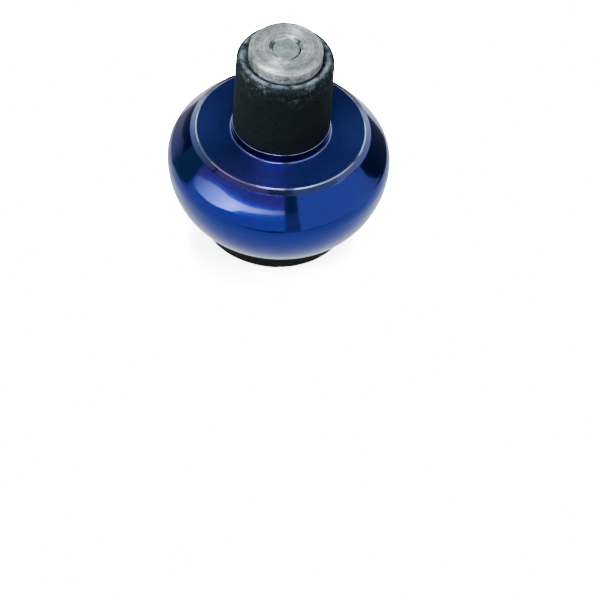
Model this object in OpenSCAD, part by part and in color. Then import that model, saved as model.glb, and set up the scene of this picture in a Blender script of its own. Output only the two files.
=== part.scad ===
// Bar end weight for a handlebar: a turned bulb with a black cup let into its
// outer end, and a screw that draws a round nut against a rubber sleeve so that
// the sleeve swells and grips inside the bar.
// Z = 0 is the outer end face, on which the weight stands. +Z points into the bar.

/* [Bulb] */
// Radius of the bulb at its widest
bulb_r = 20.55; // [19:0.05:24]
// Height of the widest ring above the outer end
bulb_z = 15.45; // [14.8:0.05:16.2]
// Height of the face that the handlebar meets
face_z = 23; // [22.4:0.1:24]
// Radius of the outer edge of that face
face_r = 15.53; // [14:0.01:15.6]
// Size of the chamfer on that edge
rim_cut = 0.2; // [0.15:0.01:0.4]
// Radius of the rim's lip, outside that chamfer
rim_r = 16.6; // [16.3:0.02:16.9]
// Depth of the lip below the face
rim_drop = 0.75; // [0.5:0.01:0.85]
// Radius of the spigot that carries the rubber sleeve
spigot_r = 9.05; // [8.6:0.05:10]
// Height of the spigot above the face
spigot_h = 2; // [1.2:0.1:2.6]

/* [Outer cup] */
// Radius of the exposed black ring
ring_r = 13.72; // [13:0.02:13.8]
// Height of the exposed black ring
ring_h = 3.4; // [3:0.1:3.6]
// Radius of the recess in the ring
recess_r = 9.65; // [8.8:0.05:11]
// Depth of the recess
recess_d = 3.6; // [3:0.1:4]
// Radius of the part of the cup that is let into the bulb
plug_r = 11.5; // [10.5:0.1:12.2]

/* [Screw] */
// Nominal diameter of the thread
thread_d = 6; // [6:1:6]
// Radius of the screw's head
head_r = 5; // [4.8:0.1:5.2]
// Height of the screw's head
head_h = 4; // [3.4:0.1:4]
// Width across the flats of the hexagon socket
hex_af = 4; // [3:1:4]
// Depth of the hexagon socket
hex_depth = 2.4; // [1.8:0.1:2.6]
// Length of the screw under its head
screw_len = 35.4; // [34:0.1:36]

/* [Rubber sleeve] */
// Outer radius of the rubber sleeve
rubber_r = 9; // [8.4:0.05:9.05]
// Length of the rubber sleeve under the nut
rubber_h = 15.6; // [14.6:0.1:15.8]
// Height of the sleeve's rounded rim, which stands up round the foot of the nut
rubber_lip = 0.75; // [0.5:0.05:1]
// Radius of that rim's rounding
rubber_round = 1.2; // [1:0.1:1.4]
// Radius of the sleeve's bore
rubber_bore_r = 5; // [4.9:0.1:5.6]

/* [Nut] */
// Radius of the round nut
nut_r = 6.75; // [6.4:0.05:6.8]
// Thickness of the nut outside the sleeve
nut_h = 3; // [2.6:0.1:3.4]
// Height of the chamfer on the nut's outer end
nut_cut = 0.65; // [0.4:0.05:0.8]
// Width of that chamfer across the nut
nut_cut_w = 0.3; // [0.2:0.05:0.5]
// Radius of the nut's hub inside the sleeve
hub_r = 4.6; // [4.2:0.1:4.6]
// Length of that hub
hub_h = 4.5; // [3:0.1:5]

/* [Hidden] */

// how finely round parts are drawn
round_fn = 96;
// points along each quarter of the bulb's section
arc_n = 26;

// running clearance between the cup's plug and the bulb's pocket
plug_gap = 0.05;
// depth of web under the screw's head
web_t = 2.5;
// clearance holes for the screw
hole_r = thread_d / 2 + 0.3;
// the screw's shank, over the tips of its thread
shank_r = thread_d / 2 - 0.02;
// the nut's threaded hole, at the roots of its thread
nut_hole_r = shank_r + 0.05;

spigot_z = face_z + spigot_h;
rubber_top = spigot_z + rubber_h;
lip_top = rubber_top + rubber_lip;
lip_r = rubber_r - rubber_round;
nut_top = rubber_top + nut_h;
head_z = recess_d + 0.1;
seat_z = head_z + head_h;
screw_end = seat_z + screw_len;
plug_end = seat_z + web_t;
pocket_z = plug_end + 0.2;

// Lower quarter of the bulb's section: an ellipse from the widest ring down to
// the joint with the black ring.
low_c = 10;
low_a = bulb_r - low_c;
low_b = bulb_z - 2.7;
joint_r = ring_r + 0.13;
low_end = acos((joint_r - low_c) / low_a);
// Upper quarter: a smaller ellipse up to the foot of the rim's flank.
up_c = 16.2;
up_a = bulb_r - up_c;
up_b = 4.97;
flank_r = 19.5;
up_end = acos((flank_r - up_c) / up_a);
flank_z = bulb_z + up_b * sin(up_end);

function lower(k) = let(t = low_end * (1 - k / arc_n))
    [low_c + low_a * cos(t), bulb_z - low_b * sin(t)];
function upper(k) = let(t = up_end * k / arc_n)
    [up_c + up_a * cos(t), bulb_z + up_b * sin(t)];

// Flank from there up to the rim's lip: a quadratic curve, nearly a cone.
flank_n = 8;
flank_a = [flank_r, flank_z];
flank_b = [flank_r - 1.38, flank_z + 1.83];
flank_c = [rim_r, face_z - rim_drop];
function flank(k) = let(t = k / flank_n)
    flank_a * (1 - t) * (1 - t) + flank_b * 2 * t * (1 - t) + flank_c * t * t;

// Foot of the spigot: a quarter-round fillet.
foot_r = 0.45;
foot_n = 6;
function foot(k) = let(t = 90 * k / foot_n)
    [spigot_r + foot_r * (1 - sin(t)), face_z + foot_r * (1 - cos(t))];

body_section = concat(
    [[0, ring_h], [joint_r - 0.12, ring_h], [joint_r, ring_h + 0.1]],
    [for (k = [0 : arc_n]) lower(k)],
    [for (k = [1 : arc_n]) upper(k)],
    [for (k = [1 : flank_n]) flank(k)],
    [[rim_r - 0.1, face_z - rim_drop + 0.07], [face_r + rim_cut / 2, face_z - rim_cut],
     [face_r - rim_cut / 2, face_z]],
    [for (k = [0 : foot_n]) foot(k)],
    [[spigot_r, spigot_z - 0.12], [spigot_r - 0.12, spigot_z], [0, spigot_z]]);

module round_bar(r, z0, z1) {
    translate([0, 0, z0]) cylinder(r = r, h = z1 - z0, $fn = round_fn);
}

module cone_bar(r0, r1, z0, z1) {
    translate([0, 0, z0]) cylinder(r1 = r0, r2 = r1, h = z1 - z0, $fn = round_fn);
}

// Turned and blue anodised, with a pocket for the cup and a hole for the screw.
module weight_body() {
    color([0.08, 0.14, 0.55])
    difference() {
        rotate_extrude($fn = round_fn) polygon(body_section);
        round_bar(plug_r + plug_gap, ring_h - 1, pocket_z);
        round_bar(hole_r, pocket_z - 1, spigot_z + 1);
        cone_bar(hole_r + 0.8, hole_r - 0.2, spigot_z - 0.5, spigot_z + 0.5);
    }
}

// Black ring and cup: flange, recess, and a seat for the screw's head.
module end_cup() {
    color([0.07, 0.075, 0.085])
    difference() {
        union() {
            rotate_extrude($fn = round_fn) polygon([
                [0, 0], [ring_r - 0.42, 0], [ring_r - 0.3, 0.05], [ring_r, 0.42],
                [ring_r, ring_h], [0, ring_h]]);
            rotate_extrude($fn = round_fn) polygon([
                [0, ring_h - 0.5], [plug_r, ring_h - 0.5], [plug_r, plug_end - 0.4],
                [plug_r - 0.4, plug_end], [0, plug_end]]);
        }
        round_bar(recess_r, -1, recess_d);
        cone_bar(recess_r + 1.2, recess_r, -1, 0.2);
        round_bar(head_r + 0.5, recess_d - 1, seat_z);
        cone_bar(head_r + 1.65, head_r + 0.5, recess_d - 1, recess_d + 0.15);
        round_bar(hole_r, seat_z - 1, plug_end + 1);
    }
}

// Low-headed screw with a hexagon socket. Its thread is drawn with the looks.
module clamp_screw() {
    color([0.72, 0.74, 0.75])
    difference() {
        union() {
            cone_bar(head_r - 0.3, head_r, head_z, head_z + 0.3);
            round_bar(head_r, head_z + 0.3, seat_z);
            round_bar(shank_r, seat_z - 0.5, screw_end - 0.6);
            cone_bar(shank_r, shank_r - 0.6, screw_end - 0.6, screw_end);
        }
        translate([0, 0, head_z - 1]) rotate([0, 0, 9])
            cylinder(r = hex_af / 2 / cos(30), h = hex_depth + 1, $fn = 6);
        cone_bar(hex_af / 2 + 0.75, hex_af / 2 - 0.05, head_z - 0.4, head_z + 0.4);
        cone_bar(hex_af / 2 - 0.1, 0.05, head_z + hex_depth - 0.01, head_z + hex_depth + 0.6);
    }
}

// Rubber sleeve. Its end towards the bar is a rounded rim, and the nut sits inside that.
module rubber_sleeve() {
    color([0.09, 0.1, 0.1])
    difference() {
        rotate_extrude($fn = round_fn) union() {
            polygon([[0, spigot_z], [rubber_r - 0.15, spigot_z], [rubber_r, spigot_z + 0.15],
                [rubber_r, lip_top - rubber_round], [lip_r, lip_top - rubber_round],
                [lip_r, lip_top], [lip_r - 0.3, lip_top - 0.07],
                [nut_r + 0.3, rubber_top + 0.2], [nut_r + 0.1, rubber_top], [0, rubber_top]]);
            intersection() {
                translate([lip_r, lip_top - rubber_round])
                    circle(r = rubber_round, $fn = 64);
                translate([lip_r, lip_top - rubber_round])
                    square([rubber_round + 1, rubber_round + 1]);
            }
        }
        round_bar(rubber_bore_r, spigot_z - 1, rubber_top + 1);
    }
}

// Round nut with a hub inside the sleeve and a countersunk threaded hole.
module clamp_nut() {
    color([0.7, 0.72, 0.73])
    difference() {
        union() {
            round_bar(nut_r, rubber_top, nut_top - nut_cut);
            cone_bar(nut_r, nut_r - nut_cut_w, nut_top - nut_cut, nut_top);
            round_bar(hub_r, rubber_top - hub_h + 0.5, rubber_top + 0.5);
            cone_bar(hub_r - 0.5, hub_r, rubber_top - hub_h, rubber_top - hub_h + 0.5);
        }
        round_bar(nut_hole_r, rubber_top - hub_h - 1, nut_top + 1);
        cone_bar(nut_hole_r - 0.2, nut_hole_r + 0.62, nut_top - 0.32, nut_top + 0.5);
    }
}

weight_body();
end_cup();
clamp_screw();
rubber_sleeve();
clamp_nut();
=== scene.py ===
import bpy
import math
import random
from mathutils import Matrix, Vector, noise


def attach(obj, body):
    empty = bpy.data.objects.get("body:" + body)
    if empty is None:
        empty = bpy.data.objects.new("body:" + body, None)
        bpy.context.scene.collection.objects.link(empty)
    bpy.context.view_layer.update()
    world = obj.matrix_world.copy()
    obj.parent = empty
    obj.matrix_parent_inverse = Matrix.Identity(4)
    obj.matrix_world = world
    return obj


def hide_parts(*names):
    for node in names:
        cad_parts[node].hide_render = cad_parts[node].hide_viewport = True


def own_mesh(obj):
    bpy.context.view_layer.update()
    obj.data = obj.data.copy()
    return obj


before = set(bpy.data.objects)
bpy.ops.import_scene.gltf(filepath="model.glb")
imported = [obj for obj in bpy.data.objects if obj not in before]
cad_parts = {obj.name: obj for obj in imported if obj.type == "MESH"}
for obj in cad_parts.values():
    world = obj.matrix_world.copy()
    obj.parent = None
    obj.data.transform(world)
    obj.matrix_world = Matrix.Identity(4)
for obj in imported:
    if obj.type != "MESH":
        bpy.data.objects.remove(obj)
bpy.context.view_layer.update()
scene = bpy.context.scene

MM = 0.001

# ---------------------------------------------------------------- sizes, mm
# The same figures as in the part's source.
BULB_R, BULB_Z = 20.55, 15.45
FACE_Z, FACE_R, RIM_CUT, RIM_R, RIM_DROP = 23.0, 15.53, 0.20, 16.6, 0.75
SPIGOT_R, SPIGOT_Z = 9.05, 25.0
RING_R, RING_H = 13.72, 3.4
RECESS_R, RECESS_D = 9.65, 3.6
PLUG_R, POCKET_R = 11.5, 11.55
HEAD_R, HEAD_Z, SEAT_Z = 5.0, 3.7, 7.7
HEX_AF, HEX_DEPTH = 4.0, 2.4
SCREW_END = 43.1
HOLE_R, SHANK_R, NUT_HOLE_R = 3.3, 2.98, 3.03
PLUG_END, POCKET_Z = 10.2, 10.4
RUBBER_R, RUBBER_TOP, RUBBER_BORE = 9.0, 40.6, 5.0
RUBBER_LIP, RUBBER_ROUND = 0.75, 1.2
NUT_R, NUT_TOP, NUT_CUT, NUT_CUT_W = 6.75, 43.6, 0.65, 0.3
HUB_R, HUB_H = 4.6, 4.5
PITCH = 1.0
SEGS = 240


# ---------------------------------------------------------------- mesh tools
def make_object(name, verts, faces, sharp=28.0):
    mesh = bpy.data.meshes.new(name)
    mesh.from_pydata([(x * MM, y * MM, z * MM) for x, y, z in verts], [], faces)
    mesh.validate()
    mesh.update()
    for poly in mesh.polygons:
        poly.use_smooth = True
    mesh.set_sharp_from_angle(angle=math.radians(sharp))
    obj = bpy.data.objects.new(name, mesh)
    scene.collection.objects.link(obj)
    return obj


def rounded(points, radii, steps=4):
    """A polyline (r, z) whose corners are rounded: radii maps an index to a radius."""
    out = []
    n = len(points)
    for i, p in enumerate(points):
        rad = radii.get(i, 0.0)
        if rad <= 0 or i == 0 or i == n - 1:
            out.append(p)
            continue
        p = Vector(p)
        a = Vector(points[i - 1]) - p
        b = Vector(points[i + 1]) - p
        la, lb = a.length, b.length
        a.normalize()
        b.normalize()
        ang = a.angle(b)
        if ang > math.radians(178):
            out.append(tuple(p))
            continue
        cut = min(rad / math.tan(ang / 2), 0.45 * la, 0.45 * lb)
        rad = cut * math.tan(ang / 2)
        mid = (a + b).normalized()
        centre = p + mid * (rad / math.sin(ang / 2))
        p0, p1 = p + a * cut - centre, p + b * cut - centre
        t0 = math.atan2(p0.y, p0.x)
        t1 = math.atan2(p1.y, p1.x)
        d = (t1 - t0 + math.pi) % (2 * math.pi) - math.pi
        for k in range(steps + 1):
            t = t0 + d * k / steps
            out.append((centre.x + rad * math.cos(t), centre.y + rad * math.sin(t)))
    return out


def split_long(points, longest):
    """Adds points along long straight runs."""
    out = [points[0]]
    for a, b in zip(points, points[1:]):
        d = math.hypot(b[0] - a[0], b[1] - a[1])
        n = max(1, int(math.ceil(d / longest)))
        for k in range(1, n + 1):
            out.append((a[0] + (b[0] - a[0]) * k / n, a[1] + (b[1] - a[1]) * k / n))
    return out


def lathe_rings(points, closed, segs=SEGS):
    """Vertices and faces of a polyline (r, z) turned about Z. The polyline runs
    anticlockwise round the metal in the (r, z) plane, so faces look outwards."""
    verts, rows = [], []
    for r, z in points:
        if r < 1e-6:
            rows.append([len(verts)] * segs)
            verts.append((0.0, 0.0, z))
        else:
            rows.append(list(range(len(verts), len(verts) + segs)))
            for i in range(segs):
                t = 2 * math.pi * i / segs
                verts.append((r * math.cos(t), r * math.sin(t), z))
    faces = []
    pairs = list(zip(rows, rows[1:]))
    if closed:
        pairs.append((rows[-1], rows[0]))
    for lo, hi in pairs:
        for i in range(segs):
            j = (i + 1) % segs
            loop = [lo[i], lo[j], hi[j], hi[i]]
            clean = [v for k, v in enumerate(loop) if v != loop[k - 1]]
            if len(clean) >= 3:
                faces.append(clean)
    return verts, faces


def merge_close(obj, dist=0.0005):
    import bmesh
    bm = bmesh.new()
    bm.from_mesh(obj.data)
    bmesh.ops.remove_doubles(bm, verts=bm.verts, dist=dist * MM)
    bmesh.ops.dissolve_degenerate(bm, edges=bm.edges, dist=dist * MM * 0.5)
    bm.to_mesh(obj.data)
    bm.free()


def smooth_again(obj, sharp):
    for poly in obj.data.polygons:
        poly.use_smooth = True
    obj.data.set_sharp_from_angle(angle=math.radians(sharp))


# ---------------------------------------------------------------- profiles
LOW_C = 10.0
LOW_A, LOW_B = BULB_R - LOW_C, BULB_Z - 2.7
JOINT_R = RING_R + 0.13
LOW_END = math.acos((JOINT_R - LOW_C) / LOW_A)
UP_C = 16.2
UP_A, UP_B = BULB_R - UP_C, 4.97
FLANK_R = 19.5
UP_END = math.acos((FLANK_R - UP_C) / UP_A)
FLANK_Z = BULB_Z + UP_B * math.sin(UP_END)


def body_profile():
    pts, rad = [], {}

    def add(r, z, round_r=0.0):
        if round_r:
            rad[len(pts)] = round_r
        pts.append((r, z))

    add(POCKET_R, RING_H + 0.2)
    add(POCKET_R + 0.1, RING_H)
    add(JOINT_R - 0.12, RING_H)
    add(JOINT_R, RING_H + 0.1, 0.08)
    for k in range(1, 49):
        t = LOW_END * (1 - k / 48)
        add(LOW_C + LOW_A * math.cos(t), BULB_Z - LOW_B * math.sin(t))
    for k in range(1, 41):
        t = UP_END * k / 40
        add(UP_C + UP_A * math.cos(t), BULB_Z + UP_B * math.sin(t))
    a = (FLANK_R, FLANK_Z)
    b = (FLANK_R - 1.38, FLANK_Z + 1.83)
    c = (RIM_R, FACE_Z - RIM_DROP)
    for k in range(1, 15):
        t = k / 14
        add(a[0] * (1 - t) ** 2 + b[0] * 2 * t * (1 - t) + c[0] * t * t,
            a[1] * (1 - t) ** 2 + b[1] * 2 * t * (1 - t) + c[1] * t * t)
    # the rim: lip, gently sloping band, chamfer, all with their edges broken
    rad[len(pts) - 1] = 0.12
    add(RIM_R - 0.1, FACE_Z - RIM_DROP + 0.07, 0.12)
    add(FACE_R + RIM_CUT / 2, FACE_Z - RIM_CUT - 0.002, 0.1)
    add(FACE_R - RIM_CUT / 2, FACE_Z - 0.005, 0.1)
    # the flat face, cut very slightly hollow by the tool
    add(13.0, FACE_Z - 0.012)
    add(10.5, FACE_Z - 0.012)
    foot = 0.45
    for k in range(0, 9):
        t = math.radians(90 * k / 8)
        add(SPIGOT_R + foot * (1 - math.sin(t)), FACE_Z + foot * (1 - math.cos(t)))
    add(SPIGOT_R, SPIGOT_Z, 0.12)
    add(HOLE_R + 0.3, SPIGOT_Z, 0.05)
    add(HOLE_R, SPIGOT_Z - 0.3)
    add(HOLE_R, POCKET_Z)
    add(POCKET_R, POCKET_Z)
    return rounded(pts, rad)


def cup_profile():
    pts, rad = [], {}

    def add(r, z, round_r=0.0):
        if round_r:
            rad[len(pts)] = round_r
        pts.append((r, z))

    add(RECESS_R, 1.5)
    add(RECESS_R, 0.2, 0.1)
    add(RECESS_R + 0.2, 0.0, 0.1)
    add(RING_R - 0.42, 0.0, 0.2)
    add(RING_R - 0.01, 0.42, 0.2)
    add(RING_R - 0.01, RING_H - 0.02, 0.04)
    add(PLUG_R + 0.02, RING_H - 0.02)
    add(PLUG_R, PLUG_END - 0.4)
    add(PLUG_R - 0.4, PLUG_END)
    add(HOLE_R, PLUG_END)
    add(HOLE_R, SEAT_Z)
    add(HEAD_R + 0.5, SEAT_Z)
    add(HEAD_R + 0.5, RECESS_D + 0.15, 0.05)
    add(HEAD_R + 0.65, RECESS_D, 0.05)
    add(RECESS_R - 0.35, RECESS_D)
    add(RECESS_R - 0.1, RECESS_D - 0.1)
    add(RECESS_R, RECESS_D - 0.35)
    return rounded(pts, rad)


def rubber_profile():
    pts = [(RUBBER_BORE, SPIGOT_Z), (RUBBER_R - 0.15, SPIGOT_Z), (RUBBER_R, SPIGOT_Z + 0.15)]
    n = 40
    lip = RUBBER_TOP + RUBBER_LIP
    z1 = lip - RUBBER_ROUND
    for k in range(1, n + 1):
        pts.append((RUBBER_R, SPIGOT_Z + 0.15 + (z1 - SPIGOT_Z - 0.15) * k / n))
    for k in range(1, 15):
        t = math.radians(90 * k / 14)
        pts.append((RUBBER_R - RUBBER_ROUND * (1 - math.cos(t)), z1 + RUBBER_ROUND * math.sin(t)))
    # inner slope of the rim, down to where the nut sits
    top = RUBBER_R - RUBBER_ROUND
    foot = NUT_R + 0.12
    for k in range(1, 11):
        t = k / 10
        pts.append((top + (foot - top) * t, RUBBER_TOP + RUBBER_LIP * 0.5 * (1 + math.cos(math.pi * t)) - 0.002))
    pts.append((RUBBER_BORE + 0.15, RUBBER_TOP - 0.002))
    pts.append((RUBBER_BORE, RUBBER_TOP - 0.15))
    return pts


# ---------------------------------------------------------------- thread
def male_r(f):
    """Radius of the screw's thread at a share f of the pitch past the crest."""
    d = abs((f + 0.5) % 1.0 - 0.5)
    root, crest = 2.45, SHANK_R
    if d < 0.0625 + 0.01:
        return crest
    if d > 0.36:
        return root
    return crest + (root - crest) * (d - 0.0725) / (0.36 - 0.0725)


def female_r(f):
    """Radius of the nut's thread: it follows the screw's with a little clearance."""
    d = abs((f + 0.5) % 1.0 - 0.5)
    minor, major = 2.5, NUT_HOLE_R - 0.01
    if d < 0.11:
        return major
    if d > 0.41:
        return minor
    return major + (minor - major) * (d - 0.11) / (0.41 - 0.11)


THREAD_ROWS = [0.0, 0.0725, 0.11, 0.2, 0.3, 0.36, 0.41, 0.5, 0.59, 0.64, 0.7, 0.8, 0.89, 0.9275]


def thread_wall(z_lo, z_hi, radius, segs, flip):
    """A helical wall from z_lo to z_hi. radius(f, z) gives its radius."""
    verts, faces, rows = [], [], []
    first = int(math.floor(z_lo / PITCH)) - 1
    last = int(math.ceil(z_hi / PITCH)) + 1
    for turn in range(first, last):
        for f in THREAD_ROWS:
            row = []
            for i in range(segs + 1):
                t = 2 * math.pi * i / segs
                z = (turn + f) * PITCH + PITCH * i / segs
                zc = min(max(z, z_lo), z_hi)
                fc = (zc / PITCH - i / segs) % 1.0
                r = radius(fc, zc)
                row.append(len(verts))
                verts.append((r * math.cos(t), r * math.sin(t), zc))
            rows.append(row)
    for lo, hi in zip(rows, rows[1:]):
        for i in range(segs):
            quad = [lo[i], lo[i + 1], hi[i + 1], hi[i]]
            zs = [verts[q][2] for q in quad]
            if max(zs) - min(zs) < 1e-7:
                continue
            faces.append(quad[::-1] if flip else quad)
    return verts, faces


def join_parts(name, parts, sharp):
    verts, faces = [], []
    for v, f in parts:
        base = len(verts)
        verts.extend(v)
        faces.extend([[q + base for q in loop] for loop in f])
    obj = make_object(name, verts, faces, sharp)
    merge_close(obj)
    smooth_again(obj, sharp)
    return obj


# ---------------------------------------------------------------- pieces
def build_body():
    v, f = lathe_rings(split_long(body_profile(), 0.9), True)
    obj = make_object("bulb_turned", v, f, 30)
    # the flat face keeps the lathe's marks: it takes the second material
    for poly in obj.data.polygons:
        c = poly.center
        r = math.hypot(c.x, c.y) / MM
        if 9.5 < r < FACE_R - RIM_CUT / 2 - 0.05 and c.z / MM > FACE_Z - 0.05:
            poly.material_index = 1
    return obj


def build_cup():
    v, f = lathe_rings(split_long(cup_profile(), 0.9), True)
    return make_object("cup_turned", v, f, 30)


def build_rubber():
    pts = split_long(rubber_profile(), 0.6)
    v, f = lathe_rings(pts, True)
    # a moulded skin: shallow unevenness, always inwards, and softly rolled bore lip
    out = []
    for x, y, z in v:
        r = math.hypot(x, y)
        if r > RUBBER_BORE + 0.3 and z > SPIGOT_Z + 0.05:
            p = Vector((x, y, z))
            d = 0.5 + 0.5 * noise.noise(p * 0.33)
            e = 0.5 + 0.5 * noise.noise(p * 1.1 + Vector((7.0, 1.0, 3.0)))
            g = 0.5 + 0.5 * noise.noise(p * 3.0 + Vector((3.0, 9.0, 5.0)))
            cut = 0.07 * d + 0.035 * e + 0.02 * g
            k = (r - cut) / r
            zc = z - (0.05 * e if z > RUBBER_TOP + 0.05 else 0.0)
            out.append((x * k, y * k, zc))
        else:
            out.append((x, y, z))
    return make_object("sleeve_moulded", out, f, 50)


def build_screw():
    parts = []
    segs = SEGS
    turn = math.radians(9)
    # head: from the socket's chamfer out over the face, down the side to the seat
    head = rounded(
        [(HEX_AF / 2 + 0.35, HEAD_Z), (HEAD_R - 0.32, HEAD_Z), (HEAD_R - 0.01, HEAD_Z + 0.3),
         (HEAD_R - 0.01, SEAT_Z), (SHANK_R - 0.02, SEAT_Z)],
        {1: 0.15, 2: 0.15, 3: 0.05}, 4)
    head = split_long(head, 0.7)
    # the polyline ends at the shank, which then runs up to where the thread starts
    thread_from = 26.0
    head += [(SHANK_R - 0.02, SEAT_Z + 0.3), (SHANK_R - 0.02, 16.0), (SHANK_R - 0.02, thread_from)]
    parts.append(lathe_rings(head, False))

    # hexagon socket
    verts, rows = [], []

    def ring(radius_of, depth_of):
        row = []
        for i in range(segs):
            t = 2 * math.pi * i / segs
            r = radius_of(t)
            row.append(len(verts))
            verts.append((r * math.cos(t), r * math.sin(t), HEAD_Z + depth_of(r)))
        rows.append(row)

    def hexr(t):
        a = (t - turn) % (math.pi / 3) - math.pi / 6
        return HEX_AF / 2 / math.cos(a)

    mouth = HEX_AF / 2 + 0.35
    ring(lambda t: mouth, lambda r: 0.0)
    ring(lambda t: 0.5 * (hexr(t) + mouth), lambda r: mouth - r)
    ring(hexr, lambda r: mouth - r)
    ring(hexr, lambda r: 1.2)
    ring(hexr, lambda r: HEX_DEPTH)
    ring(lambda t: 1.88, lambda r: HEX_DEPTH)
    ring(lambda t: 1.0, lambda r: HEX_DEPTH + 0.28)
    ring(lambda t: 0.1, lambda r: HEX_DEPTH + 0.57)
    faces = []
    for lo, hi in zip(rows, rows[1:]):
        for i in range(segs):
            j = (i + 1) % segs
            faces.append([lo[i], hi[i], hi[j], lo[j]])
    tip = len(verts)
    verts.append((0, 0, HEAD_Z + HEX_DEPTH + 0.59))
    for i in range(segs):
        faces.append([rows[-1][i], tip, rows[-1][(i + 1) % segs]])
    parts.append((verts, faces))

    def radius(f, z):
        r = male_r(f)
        if z < thread_from + 1.5:
            k = (z - thread_from) / 1.5
            r = (SHANK_R - 0.02) * (1 - k) + r * k
        if z > SCREW_END - 0.57:
            r = min(r, 2.96 - (z - (SCREW_END - 0.57)))
        return r

    parts.append(thread_wall(thread_from, SCREW_END - 0.02, radius, segs, False))
    # the end of the shank: a flat with a shallow turned dimple
    end = [(2.96 - 0.55, SCREW_END - 0.02), (1.6, SCREW_END - 0.01), (1.1, SCREW_END - 0.03),
           (0.5, SCREW_END - 0.05), (0.0, SCREW_END - 0.06)]
    parts.append(lathe_rings(end, False))
    return join_parts("screw_hex", parts, 30)


def build_nut():
    parts = []
    segs = SEGS
    # outside, anticlockwise: hub end, hub, flange, chamfer, top face
    out = rounded(
        [(NUT_HOLE_R, RUBBER_TOP - HUB_H), (HUB_R - 0.5, RUBBER_TOP - HUB_H),
         (HUB_R - 0.01, RUBBER_TOP - HUB_H + 0.5), (HUB_R - 0.01, RUBBER_TOP),
         (NUT_R - 0.15, RUBBER_TOP), (NUT_R - 0.005, RUBBER_TOP + 0.14),
         (NUT_R - 0.005, NUT_TOP - NUT_CUT), (NUT_R - NUT_CUT_W, NUT_TOP - 0.004), (NUT_R - 0.6, NUT_TOP - 0.004)],
        {1: 0.1, 2: 0.1, 4: 0.06, 5: 0.08, 6: 0.12, 7: 0.1}, 4)
    out = split_long(out, 0.8)
    # top face: fine steps left by the lathe tool
    mouth = 3.13
    r = NUT_R - 0.68
    k = 0
    while r > mouth + 0.12:
        z = NUT_TOP - 0.004 - (0.0 if k % 2 == 0 else 0.006 + 0.004 * math.sin(k * 1.7))
        out.append((r, z))
        r -= 0.085
        k += 1
    # countersink: the thread runs out into it
    cone = ((2.5, NUT_TOP - 0.6), (2.82, NUT_TOP - 0.25), (3.03, NUT_TOP - 0.085))
    r_cs, z_cs = cone[-1]
    tail = rounded([(mouth + 0.12, NUT_TOP - 0.006), (mouth, NUT_TOP - 0.006), (r_cs, z_cs)], {1: 0.05}, 4)
    out += tail[1:]
    parts.append(lathe_rings(out, False))

    def radius(f, z):
        r = female_r(f)
        for (r0, z0), (r1, z1) in zip(cone, cone[1:]):
            if z0 < z <= z1 + 1e-9:
                r = max(r, r0 + (r1 - r0) * (z - z0) / (z1 - z0))
        low = RUBBER_TOP - HUB_H
        if z < low + 0.5:
            r = max(r, NUT_HOLE_R - (z - low))
        return r

    parts.append(thread_wall(RUBBER_TOP - HUB_H, z_cs, radius, segs, True))
    return join_parts("nut_turned", parts, 24)


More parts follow.
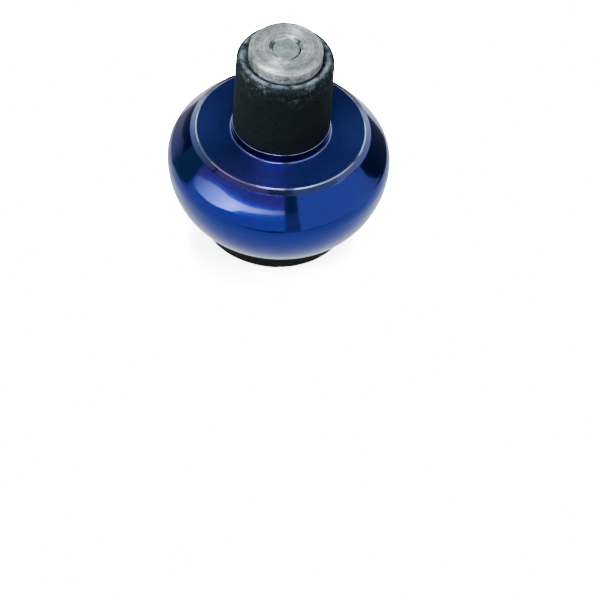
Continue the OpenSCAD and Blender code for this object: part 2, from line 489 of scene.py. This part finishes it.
# ---------------------------------------------------------------- shader tools
class Tree:
    def __init__(self, name, rest=None):
        self.mat = bpy.data.materials.new(name)
        self.mat.use_nodes = True
        self.nt = self.mat.node_tree
        self.nt.nodes.clear()
        self.out = self.nt.nodes.new("ShaderNodeOutputMaterial")
        self.bsdf = self.nt.nodes.new("ShaderNodeBsdfPrincipled")
        self.nt.links.new(self.bsdf.outputs[0], self.out.inputs["Surface"])
        if rest is None:
            self.coord = self.nt.nodes.new("ShaderNodeTexCoord").outputs["Object"]
        else:
            at = self.nt.nodes.new("ShaderNodeAttribute")
            at.attribute_name = rest
            self.coord = at.outputs["Vector"]

    def node(self, kind, **props):
        n = self.nt.nodes.new(kind)
        for k, v in props.items():
            setattr(n, k, v)
        return n

    def link(self, a, b):
        self.nt.links.new(a, b)

    def math(self, op, a, b=None, c=None, clamp=False):
        n = self.node("ShaderNodeMath", operation=op, use_clamp=clamp)
        for i, v in enumerate((a, b, c)):
            if v is None:
                continue
            if isinstance(v, (int, float)):
                n.inputs[i].default_value = v
            else:
                self.link(v, n.inputs[i])
        return n.outputs[0]

    def polar(self):
        """Radius and height in millimetres, and the angle, of a point of the surface."""
        sep = self.node("ShaderNodeSeparateXYZ")
        self.link(self.coord, sep.inputs[0])
        x, y, z = sep.outputs
        rr = self.math("SQRT", self.math("ADD", self.math("MULTIPLY", x, x), self.math("MULTIPLY", y, y)))
        ang = self.math("ARCTAN2", y, x)
        return self.math("MULTIPLY", rr, 1000.0), self.math("MULTIPLY", z, 1000.0), ang

    def combine(self, x, y, z):
        n = self.node("ShaderNodeCombineXYZ")
        for i, v in enumerate((x, y, z)):
            if isinstance(v, (int, float)):
                n.inputs[i].default_value = v
            else:
                self.link(v, n.inputs[i])
        return n.outputs[0]

    def noise(self, vector, scale, detail=3.0, rough=0.55, distort=0.0):
        n = self.node("ShaderNodeTexNoise")
        self.link(vector, n.inputs["Vector"])
        n.inputs["Scale"].default_value = scale
        n.inputs["Detail"].default_value = detail
        n.inputs["Roughness"].default_value = rough
        n.inputs["Distortion"].default_value = distort
        return n.outputs["Fac"]

    def ramp(self, fac, stops, interp="LINEAR"):
        n = self.node("ShaderNodeValToRGB")
        n.color_ramp.interpolation = interp
        e = n.color_ramp.elements
        while len(e) > 1:
            e.remove(e[-1])
        e[0].position = stops[0][0]
        e[0].color = self._rgba(stops[0][1])
        for pos, col in stops[1:]:
            k = e.new(pos)
            k.color = self._rgba(col)
        self.link(fac, n.inputs[0])
        return n.outputs[0]

    @staticmethod
    def _rgba(c):
        if isinstance(c, (int, float)):
            return (c, c, c, 1.0)
        return (c[0], c[1], c[2], 1.0)

    def mix(self, fac, a, b, blend="MIX"):
        n = self.node("ShaderNodeMix", data_type="RGBA", blend_type=blend)
        n.clamp_factor = True
        for sock, v in ((n.inputs[0], fac), (n.inputs[6], a), (n.inputs[7], b)):
            if isinstance(v, (int, float)):
                sock.default_value = v if sock.type == "VALUE" else (v, v, v, 1.0)
            elif isinstance(v, tuple):
                sock.default_value = self._rgba(v)
            else:
                self.link(v, sock)
        return n.outputs[2]

    def mapr(self, v, a, b, c, d, kind="LINEAR"):
        n = self.node("ShaderNodeMapRange", interpolation_type=kind)
        self.link(v, n.inputs[0])
        for i, val in zip((1, 2, 3, 4), (a, b, c, d)):
            n.inputs[i].default_value = val
        return n.outputs[0]

    def bump(self, height, dist, strength=1.0, normal=None):
        n = self.node("ShaderNodeBump")
        n.inputs["Strength"].default_value = strength
        n.inputs["Distance"].default_value = dist
        self.link(height, n.inputs["Height"])
        if normal is not None:
            self.link(normal, n.inputs["Normal"])
        return n.outputs[0]

    def set(self, name, v):
        sock = self.bsdf.inputs[name]
        if isinstance(v, (int, float)):
            sock.default_value = v
        elif isinstance(v, tuple):
            sock.default_value = self._rgba(v)
        else:
            self.link(v, sock)


def blue_material():
    t = Tree("blue_anodised_polished")
    r, z, ang = t.polar()
    # turning marks: fine rings that run round the axis, seen as slight changes of tone
    rings = t.noise(t.combine(r, z, 0.0), 2.6, 4.0, 0.7)
    fine = t.noise(t.combine(r, z, 5.0), 9.0, 2.0, 0.6)
    dye = t.noise(t.coord, 90.0, 3.0, 0.5)
    tone = t.math("ADD", t.math("MULTIPLY", rings, 0.65), t.math("MULTIPLY", dye, 0.35))
    col = t.ramp(tone, [(0.3, (0.012, 0.034, 0.285)), (0.5, (0.014, 0.040, 0.318)), (0.7, (0.016, 0.046, 0.35))])
    # the rim's sloping band is coloured greyer and less blue than the rest
    band = t.math("MULTIPLY", t.mapr(r, 16.62, 16.5, 0.0, 1.0), t.mapr(r, 15.5, 15.6, 0.0, 1.0))
    band = t.math("MULTIPLY", band, t.mapr(z, 22.2, 22.3, 0.0, 1.0))
    col = t.mix(t.math("MULTIPLY", band, t.mapr(rings, 0.35, 0.65, 0.5, 0.9)), col, (0.043, 0.058, 0.125))
    # painted highlight: the rim's cut edge, the spigot's lip and part of its foot are coloured pale so that they show
    # as bright lines
    edge = t.math("MULTIPLY", t.mapr(t.math("ABSOLUTE", t.math("SUBTRACT", r, FACE_R)), 0.10, 0.15, 1.0, 0.0),
                  t.mapr(z, 22.72, 22.79, 0.0, 1.0))
    lip = t.math("MULTIPLY", t.mapr(r, 8.86, 8.92, 0.0, 1.0),
                 t.math("MULTIPLY", t.mapr(r, 9.1, 9.06, 0.0, 1.0), t.mapr(z, 24.86, 24.9, 0.0, 1.0)))
    foot = t.math("MULTIPLY", t.mapr(r, 9.5, 9.44, 0.0, 1.0), t.mapr(z, 23.4, 23.3, 0.0, 1.0))
    foot = t.math("MULTIPLY", foot, t.math("MULTIPLY", t.mapr(z, 22.95, 23.0, 0.0, 1.0), t.mapr(r, 9.0, 9.04, 0.0, 1.0)))
    cut = t.math("MAXIMUM", t.math("MAXIMUM", edge, lip), t.math("MULTIPLY", foot, 0.3))
    col = t.mix(t.math("MULTIPLY", cut, t.mapr(fine, 0.3, 0.7, 0.75, 1.0)), col, (0.33, 0.405, 0.54))
    t.set("Base Color", col)
    t.set("Metallic", 1.0)
    streak = t.mapr(rings, 0.35, 0.65, 0.10, 0.15)
    t.set("Roughness", streak)
    h = t.math("ADD", t.math("MULTIPLY", rings, 0.7), t.math("MULTIPLY", fine, 0.3))
    t.set("Normal", t.bump(h, 0.000012, 0.16))
    t.set("Coat Weight", 1.0)
    t.set("Coat Roughness", 0.035)
    t.set("Coat IOR", 1.5)
    return t.mat


def face_material():
    """The face that the bar meets: blue too, but left as turned, so that it
    smears reflections across the grooves and keeps them sharp along the grooves."""
    t = Tree("blue_anodised_as_turned")
    r, z, ang = t.polar()
    rings = t.noise(t.combine(r, z, 0.0), 3.2, 4.0, 0.7)
    dye = t.noise(t.coord, 120.0, 3.0, 0.5)
    tone = t.math("ADD", t.math("MULTIPLY", rings, 0.6), t.math("MULTIPLY", dye, 0.4))
    t.set("Base Color", t.ramp(tone, [(0.3, (0.060, 0.084, 0.31)), (0.5, (0.070, 0.098, 0.35)), (0.7, (0.080, 0.110, 0.39))]))
    t.set("Metallic", 1.0)
    t.set("Roughness", t.mapr(rings, 0.3, 0.7, 0.52, 0.60))
    t.set("Anisotropic", 0.9)
    t.set("Anisotropic Rotation", 0.25)
    tangent = t.node("ShaderNodeTangent", direction_type="RADIAL", axis="Z")
    t.link(tangent.outputs[0], t.bsdf.inputs["Tangent"])
    t.set("Normal", t.bump(rings, 0.00001, 0.5))
    return t.mat


def black_anodised_material():
    t = Tree("black_anodised_satin")
    r, z, ang = t.polar()
    rings = t.noise(t.combine(r, z, 0.0), 5.0, 4.0, 0.7)
    cloud = t.noise(t.coord, 260.0, 3.0, 0.6)
    base = t.ramp(t.math("ADD", t.math("MULTIPLY", rings, 0.5), t.math("MULTIPLY", cloud, 0.5)),
                  [(0.3, (0.007, 0.009, 0.011)), (0.7, (0.013, 0.016, 0.020))])
    # handling has rubbed the outer edges a little paler
    edge = t.mapr(t.math("ABSOLUTE", t.math("SUBTRACT", r, 13.55)), 0.0, 0.22, 1.0, 0.0)
    low = t.mapr(z, 0.0, 0.5, 1.0, 0.0)
    worn = t.math("MULTIPLY", t.math("MULTIPLY", edge, low), t.mapr(cloud, 0.45, 0.65, 0.0, 0.6))
    t.set("Base Color", t.mix(worn, base, (0.06, 0.065, 0.07)))
    t.set("Metallic", 0.0)
    face = t.mapr(z, 0.15, 0.5, 0.44, 0.27)
    t.set("Roughness", t.math("ADD", face, t.mapr(rings, 0.3, 0.7, -0.03, 0.03)))
    t.set("Specular IOR Level", 0.3)
    t.set("Normal", t.bump(rings, 0.00002, 0.5))
    return t.mat


def zinc_material():
    t = Tree("zinc_plated_screw")
    r, z, ang = t.polar()
    grain = t.noise(t.coord, 1600.0, 4.0, 0.6)
    cloud = t.noise(t.coord, 420.0, 3.0, 0.55)
    base = t.ramp(t.math("ADD", t.math("MULTIPLY", grain, 0.4), t.math("MULTIPLY", cloud, 0.6)),
                  [(0.36, (0.36, 0.41, 0.44)), (0.52, (0.58, 0.63, 0.66)), (0.66, (0.74, 0.77, 0.79))])
    # blue passivation shows inside the socket
    inside = t.math("MULTIPLY", t.mapr(r, 2.25, 2.4, 1.0, 0.0), t.mapr(z, 9.0, 12.0, 1.0, 0.0))
    base = t.mix(t.math("MULTIPLY", inside, 0.85), base, (0.10, 0.32, 0.46))
    # painted shade: the thread round the end, where it sits in the nut's hole, is darkened in patches
    ring = t.math("MULTIPLY", t.mapr(r, 2.42, 2.5, 0.0, 1.0), t.mapr(z, 41.8, 42.2, 0.0, 1.0))
    base = t.mix(t.math("MULTIPLY", ring, t.mapr(cloud, 0.36, 0.52, 0.35, 0.95)), base, (0.05, 0.06, 0.07))
    t.set("Base Color", base)
    t.set("Metallic", 1.0)
    t.set("Roughness", t.mapr(cloud, 0.3, 0.7, 0.30, 0.42))
    t.set("Normal", t.bump(grain, 0.00002, 0.5))
    return t.mat


def rubber_material():
    # its marks are laid out on the shape at rest, so they stay put when it's squashed
    t = Tree("black_rubber_matt", "shape_at_rest")
    r, z, ang = t.polar()
    grain = t.noise(t.coord, 2600.0, 3.0, 0.6)
    mid = t.noise(t.coord, 700.0, 4.0, 0.65)
    broad = t.noise(t.coord, 130.0, 3.0, 0.55)
    base = t.ramp(t.math("ADD", t.math("MULTIPLY", broad, 0.6), t.math("MULTIPLY", mid, 0.4)),
                  [(0.3, (0.007, 0.013, 0.015)), (0.55, (0.012, 0.023, 0.028)), (0.75, (0.021, 0.036, 0.046))])
    # pale scuffs near the rounded end
    near = t.mapr(z, 35.5, 40.4, 0.0, 1.0, "SMOOTHSTEP")
    spots = t.mapr(t.math("ADD", t.math("MULTIPLY", mid, 0.6), t.math("MULTIPLY", grain, 0.4)), 0.50, 0.60, 0.0, 1.0)
    where = t.mapr(broad, 0.42, 0.62, 0.15, 1.0)
    scuffs_and_top_sheen = t.math("MULTIPLY", t.math("MULTIPLY", near, spots), t.math("MULTIPLY", where, 0.72))
    # the top of the rim round the nut is paled nearly all over: partly scuffs, partly a painted sheen where the light
    # falls on the top
    rim = t.math("MULTIPLY", t.mapr(r, 8.05, 8.5, 1.0, 0.0), t.mapr(z, 40.5, 41.0, 0.0, 1.0))
    rim_top_scuffs_and_sheen = t.math("MULTIPLY", rim, t.mapr(t.math("ADD", t.math("MULTIPLY", mid, 0.6), t.math("MULTIPLY", broad, 0.4)), 0.42, 0.58, 0.08, 1.0))
    # the scuffs and the painted sheen on the rim's top are joined into one mask
    scuffs_and_top_sheen = t.math("MAXIMUM", scuffs_and_top_sheen, rim_top_scuffs_and_sheen)
    col = t.mix(t.math("MULTIPLY", scuffs_and_top_sheen, 0.8), base, (0.25, 0.305, 0.37))
    t.set("Base Color", col)
    t.set("Roughness", t.mapr(mid, 0.3, 0.7, 0.68, 0.82))
    t.set("Specular IOR Level", 0.4)
    h = t.math("ADD", t.math("MULTIPLY", mid, 0.6), t.math("MULTIPLY", grain, 0.4))
    t.set("Normal", t.bump(h, 0.0001, 0.7))
    return t.mat


def steel_material():
    t = Tree("turned_steel_nut")
    r, z, ang = t.polar()
    rings = t.noise(t.combine(r, z, 0.0), 5.5, 4.0, 0.75)
    wide = t.noise(t.combine(r, z, 9.0), 1.6, 2.0, 0.5)
    grain = t.noise(t.coord, 2200.0, 3.0, 0.6)
    mottle = t.noise(t.coord, 900.0, 3.0, 0.6)
    tone = t.math("ADD", t.math("MULTIPLY", rings, 0.45), t.math("MULTIPLY", wide, 0.2))
    tone = t.math("ADD", tone, t.math("ADD", t.math("MULTIPLY", mottle, 0.2), t.math("MULTIPLY", grain, 0.15)))
    base = t.ramp(tone, [(0.39, (0.27, 0.31, 0.33)), (0.49, (0.58, 0.63, 0.65)), (0.585, (0.90, 0.94, 0.95))])
    # the mouth of the threaded hole is darkened in patches, more near its top
    mouth = t.math("MULTIPLY", t.mapr(r, 3.06, 3.14, 1.0, 0.0), t.mapr(z, 38.0, 42.6, 0.4, 1.0))
    spots = t.mapr(t.math("ADD", t.math("MULTIPLY", t.noise(t.coord, 330.0, 2.0, 0.5), 0.7), t.math("MULTIPLY", grain, 0.3)),
                   0.45, 0.52, 0.0, 0.85)
    base = t.mix(t.math("MULTIPLY", mouth, spots), base, (0.045, 0.055, 0.06))
    t.set("Base Color", base)
    t.set("Metallic", 1.0)
    t.set("Roughness", t.mapr(t.math("ADD", t.math("MULTIPLY", rings, 0.5), t.math("MULTIPLY", mottle, 0.5)), 0.35, 0.65, 0.32, 0.52))
    # the lathe's grooves run round the axis: they smear reflections across themselves
    t.set("Anisotropic", 0.75)
    t.set("Anisotropic Rotation", 0.25)
    tangent = t.node("ShaderNodeTangent", direction_type="RADIAL", axis="Z")
    t.link(tangent.outputs[0], t.bsdf.inputs["Tangent"])
    h = t.math("ADD", t.math("MULTIPLY", rings, 0.75), t.math("MULTIPLY", wide, 0.25))
    t.set("Normal", t.bump(t.math("ADD", h, t.math("MULTIPLY", mottle, 0.4)), 0.00008, 0.9))
    return t.mat


def floor_material():
    t = Tree("studio_floor")
    n = t.noise(t.coord, 3.0, 2.0, 0.5)
    t.set("Base Color", t.ramp(n, [(0.3, 0.90), (0.7, 0.93)]))
    t.set("Roughness", 0.6)
    t.set("Specular IOR Level", 0.2)
    return t.mat


# ---------------------------------------------------------------- assemble
body = build_body()
cup = build_cup()
screw = build_screw()
rubber = build_rubber()
at_rest = rubber.data.attributes.new("shape_at_rest", "FLOAT_VECTOR", "POINT")
for vert in rubber.data.vertices:
    at_rest.data[vert.index].vector = vert.co
nut = build_nut()

for obj, mats, cad, ride_on, slot_name in (
        (body, (blue_material(), face_material()), "weight_body", "bulb", "blue_anodised"),
        (cup, (black_anodised_material(),), "end_cup", "bulb", "black_anodised"),
        (screw, (zinc_material(),), "clamp_screw", "screw", "zinc_plated"),
        (rubber, (rubber_material(),), "rubber_sleeve", "bulb", "black_rubber"),
        (nut, (steel_material(),), "clamp_nut", "nut", "turned_steel")):
    for mat in mats:
        obj.data.materials.append(mat)
    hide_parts(cad)
    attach(obj, ride_on)

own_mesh(rubber)

# ---------------------------------------------------------------- studio
floor_mesh = bpy.data.meshes.new("studio_floor")
s = 3.0
floor_mesh.from_pydata([(-s, -s, 0), (s, -s, 0), (s, s, 0), (-s, s, 0)], [], [(0, 1, 2, 3)])
floor = bpy.data.objects.new("studio_floor", floor_mesh)
scene.collection.objects.link(floor)
floor.data.materials.append(floor_material())
floor.location.z = -0.00002


def card(name, corners_mm, strength, color=(1, 1, 1), fade=None):
    """An emissive studio panel that the camera doesn't see."""
    mesh = bpy.data.meshes.new(name)
    mesh.from_pydata([Vector(c) * MM for c in corners_mm], [], [tuple(range(len(corners_mm)))])
    obj = bpy.data.objects.new(name, mesh)
    scene.collection.objects.link(obj)
    mat = bpy.data.materials.new(name)
    mat.use_nodes = True
    nt = mat.node_tree
    nt.nodes.clear()
    out = nt.nodes.new("ShaderNodeOutputMaterial")
    em = nt.nodes.new("ShaderNodeEmission")
    em.inputs["Color"].default_value = (*color, 1)
    em.inputs["Strength"].default_value = strength
    nt.links.new(em.outputs[0], out.inputs["Surface"])
    if fade is not None:
        # strength changes along X, from fade[0] (mm, share) to fade[1] (mm, share)
        co = nt.nodes.new("ShaderNodeTexCoord")
        sep = nt.nodes.new("ShaderNodeSeparateXYZ")
        mr = nt.nodes.new("ShaderNodeMapRange")
        nt.links.new(co.outputs["Object"], sep.inputs[0])
        nt.links.new(sep.outputs[0], mr.inputs[0])
        mr.inputs[1].default_value = fade[0][0] * MM
        mr.inputs[2].default_value = fade[1][0] * MM
        mr.inputs[3].default_value = fade[0][1] * strength
        mr.inputs[4].default_value = fade[1][1] * strength
        nt.links.new(mr.outputs[0], em.inputs["Strength"])
    obj.data.materials.append(mat)
    obj.visible_camera = False
    return obj


def strip(name, rows, dist_mm, strength, color=(1, 1, 1)):
    """A curved studio panel round the object. Each row gives an azimuth from the
    front, the lowest and the highest elevation, in degrees, and a share of the strength."""
    verts, glow, faces = [], [], []
    for az, lo, hi, share in rows:
        turn = math.radians(0.6 * az)
        start = Vector((18.5 * math.sin(turn), -18.5 * math.cos(turn), 19.5))
        for k in range(5):
            el = math.radians(lo + (hi - lo) * k / 4)
            a = math.radians(az)
            way = Vector((math.cos(el) * math.sin(a), -math.cos(el) * math.cos(a), math.sin(el)))
            verts.append((start + way * dist_mm) * MM)
            glow.append(share * strength)
    for i in range(len(rows) - 1):
        for k in range(4):
            faces.append((5 * i + k, 5 * i + 5 + k, 5 * i + 6 + k, 5 * i + 1 + k))
    mesh = bpy.data.meshes.new(name)
    mesh.from_pydata(verts, [], faces)
    layer = mesh.attributes.new("glow", "FLOAT", "POINT")
    for i, v in enumerate(glow):
        layer.data[i].value = v
    obj = bpy.data.objects.new(name, mesh)
    scene.collection.objects.link(obj)
    mat = bpy.data.materials.new(name)
    mat.use_nodes = True
    nt = mat.node_tree
    nt.nodes.clear()
    out = nt.nodes.new("ShaderNodeOutputMaterial")
    em = nt.nodes.new("ShaderNodeEmission")
    em.inputs["Color"].default_value = (*color, 1)
    at = nt.nodes.new("ShaderNodeAttribute")
    at.attribute_name = "glow"
    nt.links.new(at.outputs["Fac"], em.inputs["Strength"])
    nt.links.new(em.outputs[0], out.inputs["Surface"])
    obj.data.materials.append(mat)
    obj.visible_camera = False
    obj.visible_shadow = False
    return obj


def even(az0, az1, lo, hi, n=8):
    return [(az0 + (az1 - az0) * k / n, lo, hi, 1.0) for k in range(n + 1)]


# the bright softbox, left and in front: a crescent that tapers to both ends
strip("softbox_left", [
    (-88.8, 12.7, 14.0, 0.25), (-85.8, 12.8, 16.0, 0.36), (-80.0, 13.2, 18.6, 0.46), (-73.7, 13.0, 21.3, 0.62),
    (-66.0, 12.0, 24.0, 0.78), (-60.1, 12.2, 25.4, 0.92), (-56.0, 14.2, 26.2, 1.08), (-50.0, 18.0, 26.9, 1.3),
    (-45.7, 21.2, 27.7, 1.48), (-39.0, 24.9, 28.6, 1.5), (-33.0, 26.8, 29.3, 1.42), (-25.0, 28.0, 30.1, 1.25),
    (-13.5, 29.3, 31.1, 1.05), (-1.6, 29.8, 31.4, 0.78), (10.8, 29.7, 31.3, 0.5)],
    600, 4.3, (1.0, 0.88, 0.68))
# the wall behind it, violet above and bluer below, which ends low at the edge of the sheet on the table
WALL = ((-90.5, -19.0, 13.0), (-84.8, -19.6, 15.0), (-71.6, -18.0, 20.0), (-54.4, -17.0, 24.0), (-37.3, -17.2, 27.0),
        (-22.0, -18.4, 29.5), (-9.4, -18.8, 30.2), (-2.0, -17.0, 30.5), (10.9, -17.0, 30.5))
wall_a = strip("wall_left", [(-98, -14.5, -7, 0.6), (-91, -18.5, -4, 0.9)], 900, 0.86, (0.90, 0.80, 0.97))
wall_low = strip("wall_left_low", [(az, lo, mid, 0.7 if az < -90 else 1.0) for az, lo, mid in WALL],
                 900, 0.86, (0.90, 0.80, 0.97))
wall_b = strip("wall_left_high", [(az, mid, 42, 1.0) for az, lo, mid in WALL], 900, 0.90, (0.97, 0.48, 0.60))
# higher up on that side, for the turned face alone
face_lamp = strip("ceiling_left", even(-86, 10.9, 51.5, 67), 900, 14.0, (1.0, 0.60, 0.98))
wall_top = strip("ceiling_left_low", even(-86, 10.9, 42.3, 51.3), 900, 0.3, (1.0, 0.97, 1.0))
strip("ceiling_gap", even(11, 25.8, 42.5, 62, 2), 900, 0.45, (0.95, 1.0, 1.0))
# a gap between the walls, a little less than dark, and the same at the far left
strip("gap", even(11.0, 24.3, -24, 30, 2), 930, 0.46, (1.1, 1.0, 0.85))
strip("gap_high", even(11.0, 24.3, 30, 42, 2), 930, 0.32, (0.8, 1.0, 0.6))
strip("gap_left", even(-90.6, -114, -18, 42, 4), 930, 0.34, (0.6, 1.05, 0.75))
# the wall on the right
strip("wall_right", [(24.4, -19.2, 42, 1), (38, -15.0, 42, 1), (52.3, -11.6, 42, 1), (72.8, -11.2, 42, 1),
                     (88, -13.2, 42, 1), (95.1, -14.4, 40, 0.95), (104, -10.4, 38, 0.8)], 900, 0.86, (1.0, 0.96, 0.92))
strip("wall_right_low", [(104, -9.8, 8, 0.8), (110, -7.6, 2, 0.7), (117, -6.2, -5, 0.6)], 900, 0.86, (1.0, 0.96, 0.92))
strip("ceiling_right", even(26, 104, 42.5, 62), 900, 1.9, (1.0, 1.0, 0.98))
# behind on the left, low
strip("wall_back_left", [(-114, -10, 2, 0.6), (-124, -20, -2, 0.9), (-140, -30, -12, 0.8), (-160, -36, -24, 0.5)],
      900, 0.5, (1.0, 0.97, 0.97))
# tall panels behind, left and right, that light the sloping band of the rim
strip("rim_left", [(-100, 48, 70, 0.4), (-106, 40, 66, 0.42), (-112, 22, 62, 0.45), (-118, 10, 58, 0.52), (-129, 0, 48, 0.65),
                   (-140, -4, 38, 0.85), (-149, -5, 28, 1.0), (-153, -5, 25, 0.95), (-158, -5, 22, 0.5), (-166, -5, 16, 0.32), (-174, -4, 10, 0.25)],
      900, 1.75, (1.0, 0.97, 0.90))
strip("rim_right", [(97, 50, 70, 0.6), (106, 40, 66, 0.7), (112, 22, 62, 0.7), (118, 10, 58, 0.7), (129, 0, 48, 0.72),
                    (140, -4, 38, 0.85), (149, -5, 28, 1.0), (153, -5, 25, 0.9), (158, -5, 22, 0.42), (166, -5, 16, 0.28), (174, -4, 10, 0.22)],
      900, 1.75, (1.0, 0.97, 0.90))
# the sheet high up behind
strip("sheet_back", [(160, 30, 68, 1), (180, 30, 68, 1), (200, 30, 68, 1)], 900, 0.62, (0.86, 1.0, 0.96))
# overhead, in two halves with a gap between them
card("overhead_left", [(-700, -420, 700), (-62, -420, 700), (-62, 60, 700), (-700, 60, 700)], 0.85, (1.0, 0.7, 0.9))
card("overhead_right", [(125, -420, 700), (700, -420, 700), (700, 60, 700), (125, 60, 700)], 0.8, (0.95, 0.97, 1.0))
card("overhead_middle", [(-61, -420, 700), (124, -420, 700), (124, 60, 700), (-61, 60, 700)], 0.4, (0.95, 0.97, 1.0))
# what the polished metal sees of the tabletop: a pale sheet that ends close by
table = card("tabletop_bounce", [
    (-12, 110, 0), (-38, 42, 0), (-62, 18, 0), (-85, 9, 0), (-75, -8, 0), (-64, -28, 0), (-56, -50, 0), (-40, -62, 0),
    (-8, -60, 0), (24, -62, 0), (70, -66, 0), (95, -40, 0), (104, 0, 0), (108, 18, 0), (70, 24, 0), (40, 50, 0), (10, 110, 0)],
    0.72, (0.94, 0.98, 1.0))
table.location.z = -0.00004
table.visible_diffuse = False
table.visible_shadow = False

world = bpy.data.worlds.new("studio_world")
world.use_nodes = True
world.node_tree.nodes["Background"].inputs[0].default_value = (0.85, 0.95, 1.0, 1)
world.node_tree.nodes["Background"].inputs[1].default_value = 0.13
scene.world = world


def area(name, loc_mm, size_mm, watts, color=(1, 1, 1), aim_mm=(0, 0, 15)):
    light = bpy.data.lights.new(name, "AREA")
    light.shape = "RECTANGLE"
    light.size, light.size_y = size_mm[0] * MM, size_mm[1] * MM
    light.energy = watts
    light.color = color
    obj = bpy.data.objects.new(name, light)
    scene.collection.objects.link(obj)
    obj.location = Vector(loc_mm) * MM
    d = (Vector(aim_mm) - Vector(loc_mm)).normalized()
    obj.rotation_euler = d.to_track_quat("-Z", "Y").to_euler()
    obj.visible_camera = False
    return obj


only_body = bpy.data.collections.new("only_body")
only_body.objects.link(body)
for panel in (face_lamp, wall_a, wall_b, wall_low, wall_top):
    panel.light_linking.receiver_collection = only_body

# the rubber, nut, screw and ring take plain light from that side instead
not_body = bpy.data.collections.new("not_body")
for obj in (cup, screw, rubber, nut):
    not_body.objects.link(obj)
for name, az, el, size, watts in (("fill_left", -62, 16, (520, 380), 1.5), ("fill_front", -14, 18, (460, 380), 1.15),
                                  ("nut_lamp", -55, 64, (260, 260), 4.2)):
    a, e = math.radians(az), math.radians(el)
    spot = Vector((math.cos(e) * math.sin(a), -math.cos(e) * math.cos(a), math.sin(e))) * 700 + Vector((0, 0, 30))
    lamp = area(name, tuple(spot), size, watts, (0.93, 1.0, 1.0), (0, 0, 30))
    lamp.light_linking.receiver_collection = not_body

# lamps over the tabletop, which light it to plain white and nothing else
only_floor = bpy.data.collections.new("only_floor")
only_floor.objects.link(floor)
for k, spot in enumerate(((-700, -500, 1500), (900, -300, 1500), (0, 1100, 1500))):
    lamp = area("tabletop_lamp_%d" % k, spot, (1400, 1400), 780.0, aim_mm=(0, 0, 0))
    lamp.visible_glossy = False
    lamp.light_linking.receiver_collection = only_floor
floor.visible_glossy = False
floor.visible_diffuse = False

# ---------------------------------------------------------------- camera
cam_data = bpy.data.cameras.new("camera")
cam = bpy.data.objects.new("camera", cam_data)
scene.collection.objects.link(cam)
TILT, ROLL = 0.823821, 0.075722
OFFSET = (-4.7977 + 0.093, -15.9694 + 0.093, 850.0)
ct, st = math.cos(TILT), math.sin(TILT)
cr, sr = math.cos(ROLL), math.sin(ROLL)
base = Matrix(((1, 0, 0), (0, -st, -ct), (0, ct, -st)))
spin = Matrix(((cr, -sr, 0), (sr, cr, 0), (0, 0, 1)))
rot = spin @ base
place = -(rot.transposed() @ Vector(OFFSET)) * MM
m = Matrix.Identity(4)
for row, sign in ((0, 1), (1, -1), (2, -1)):
    for k in range(3):
        m[k][row] = rot[row][k] * sign
m.translation = place
cam.matrix_world = m
cam_data.sensor_fit = "HORIZONTAL"
cam_data.sensor_width = 36.0
cam_data.lens = 4554.552 * 36.0 / 600.0
cam_data.clip_start = 0.01
cam_data.clip_end = 20.0
scene.camera = cam

scene.view_settings.view_transform = "AgX"
scene.view_settings.look = "AgX - High Contrast"

bpy.context.view_layer.update()
